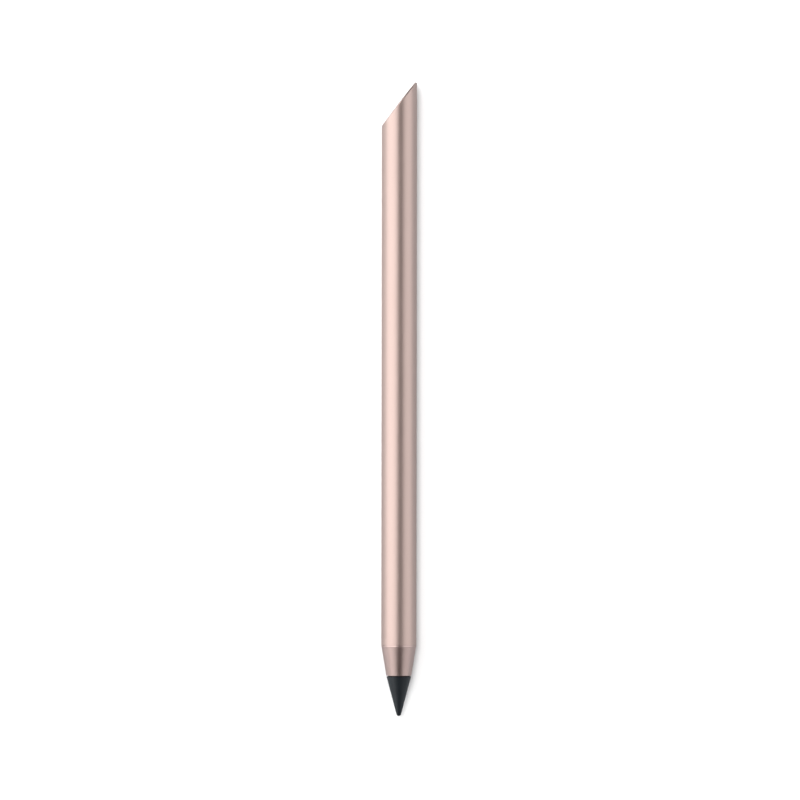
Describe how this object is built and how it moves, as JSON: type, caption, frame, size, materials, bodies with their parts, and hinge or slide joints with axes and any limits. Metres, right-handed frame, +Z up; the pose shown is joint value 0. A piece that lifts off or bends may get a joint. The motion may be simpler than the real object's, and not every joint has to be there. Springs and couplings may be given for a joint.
{
  "type": "inkless metal pencil",
  "caption": "Round metal pencil with a slanted flush end, a tapered nose collar and a screw-in graphite cone tip that writes without ink or sharpening.",
  "frame": {"origin": "on the table under the middle of the pencil's length, as it lies on its side", "axes": "+Y along the pencil from the writing tip to the slanted end, +X towards the long side of the slanted end, +Z up"},
  "size_m": [0.008, 0.1442, 0.008],
  "materials": {
    "barrel_anodised": "satin",
    "plug_anodised": "satin",
    "collar_anodised": "satin",
    "insert_brass": "satin",
    "washer_rubber": "matte",
    "tip_graphite": "satin",
    "stud_steel": "satin"
  },
  "bodies": {
    "barrel": {"barrel_tube": "barrel_anodised", "end_plug": "plug_anodised", "nose_collar": "collar_anodised", "thread_insert": "insert_brass"},
    "washer": {"tip_washer": "washer_rubber"},
    "tip": {"tip_cone": "tip_graphite", "tip_stud": "stud_steel"}
  },
  "joints": [
    {"name": "tip_draw", "type": "slide", "parent": "barrel", "child": "washer", "axis": [0, -1, 0], "range_m": [0, 0.005]},
    {"name": "tip_unscrew", "type": "hinge", "parent": "washer", "child": "tip", "pos_m": [0, -0.0631, 0.004], "axis": [0, -1, 0], "range_deg": [0, 3600.1]}
  ],
  "couplings": [
    {"joint": "tip_unscrew", "follows": "tip_draw", "rad_per_m": 12566}
  ]
}
